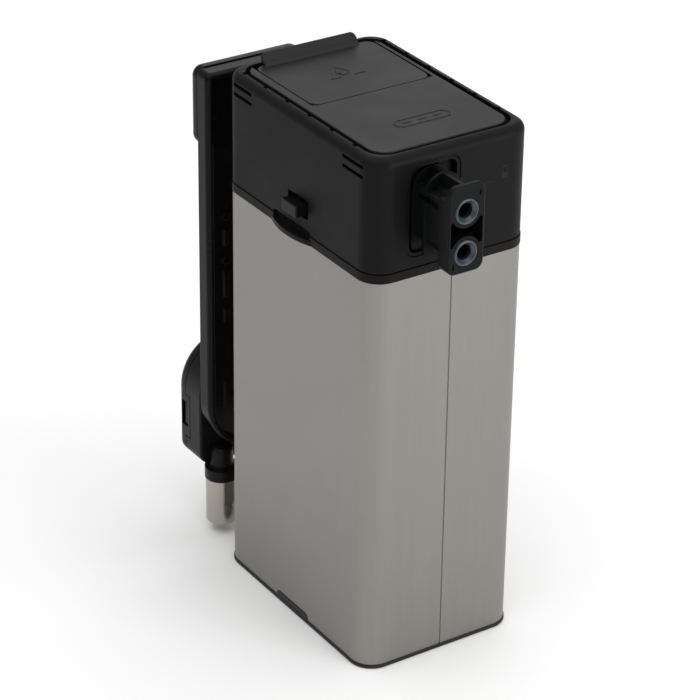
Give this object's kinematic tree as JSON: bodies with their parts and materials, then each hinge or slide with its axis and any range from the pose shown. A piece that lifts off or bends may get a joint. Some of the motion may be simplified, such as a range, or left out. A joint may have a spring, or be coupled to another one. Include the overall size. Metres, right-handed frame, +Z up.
{
  "type": "milk frothing carafe",
  "caption": "Insulated steel milk jug with a plug-in frothing lid, a hinged filling flap and a milk spout that swings on a front strap.",
  "frame": {"origin": "middle of the jug's foot, on the surface it stands on", "axes": "+Z up, +Y towards the coffee machine (the plug side), -Y towards the spout, X across the jug"},
  "size_m": [0.0892, 0.1843, 0.2506],
  "materials": {
    "sleeve_steel": "vertical brushed grain, satin",
    "liner_steel": "fine satin inside",
    "case_black": "fine spark texture",
    "strap_black": "semi gloss",
    "base_black": "satin",
    "port_grey": "satin silicone",
    "seal_black": "matt",
    "foot_rubber": "matt, grooved",
    "tip_chrome": "polished",
    "tube_steel": "drawn tube",
    "hose_silicone": "translucent white silicone",
    "screw_steel": "zinc plated",
    "chamber_grey": "smooth"
  },
  "bodies": {
    "jug": {"steel_sleeve": "sleeve_steel", "inner_liner": "liner_steel", "top_collar": "base_black", "base_pan": "base_black", "liner_cradle": "base_black", "base_screws": "screw_steel", "base_foot": "foot_rubber"},
    "lid": {"lid_band": "case_black", "lid_shell": "case_black", "lid_underplate": "base_black", "lid_screws": "screw_steel", "lid_gasket": "port_grey", "fill_neck": "base_black", "top_cover": "case_black", "plug_frame": "case_black", "machine_plug": "case_black", "port_seal_upper": "port_grey", "port_seal_lower": "port_grey", "steam_tube": "tube_steel", "air_tube": "tube_steel", "froth_chamber": "chamber_grey", "froth_chamber_cap": "chamber_grey", "milk_intake_tube": "tube_steel", "strap_shell": "strap_black", "strap_inner_cover": "strap_black", "strap_screws": "screw_steel", "strap_fascia": "strap_black", "bridge_duct": "strap_black", "milk_hose": "hose_silicone", "swivel_elbow": "strap_black"},
    "flap": {"fill_flap": "case_black", "flap_seal": "port_grey", "flap_hinge_pin": "screw_steel"},
    "button_left": {"release_button_left": "case_black", "button_spring_left": "screw_steel"},
    "button_right": {"release_button_right": "case_black", "button_spring_right": "screw_steel"},
    "dial": {"froth_dial": "strap_black", "dial_clip": "screw_steel"},
    "spout": {"spout_housing_rear": "strap_black", "spout_housing_front": "strap_black", "spout_clips": "strap_black", "spout_column": "strap_black", "spout_tip": "tip_chrome", "tip_seal": "seal_black", "spout_pivot": "strap_black", "spout_tube": "hose_silicone"}
  },
  "joints": [
    {"name": "lid_lift", "type": "slide", "parent": "jug", "child": "lid", "axis": [0, 0, 1], "range_m": [0, 0.2]},
    {"name": "flap_hinge", "type": "hinge", "parent": "lid", "child": "flap", "pos_m": [0, -0.0047, 0.24455], "axis": [-1, 0, 0], "range_deg": [0, 95]},
    {"name": "button_left_press", "type": "slide", "parent": "lid", "child": "button_left", "axis": [-1, 0, 0], "range_m": [0, 0.002], "stiffness_N_per_m": 450, "springref_m": -0.003, "deforming": ["button_spring_left"]},
    {"name": "button_right_press", "type": "slide", "parent": "lid", "child": "button_right", "axis": [1, 0, 0], "range_m": [0, 0.002], "stiffness_N_per_m": 450, "springref_m": -0.003, "deforming": ["button_spring_right"]},
    {"name": "dial_turn", "type": "hinge", "parent": "lid", "child": "dial", "pos_m": [0.013, -0.09, 0.2183], "axis": [0, -1, 0], "range_deg": [0, 120]},
    {"name": "spout_swing", "type": "hinge", "parent": "lid", "child": "spout", "pos_m": [0.016, -0.085, 0.0705], "axis": [0, -1, 0], "range_deg": [0, 90]}
  ]
}
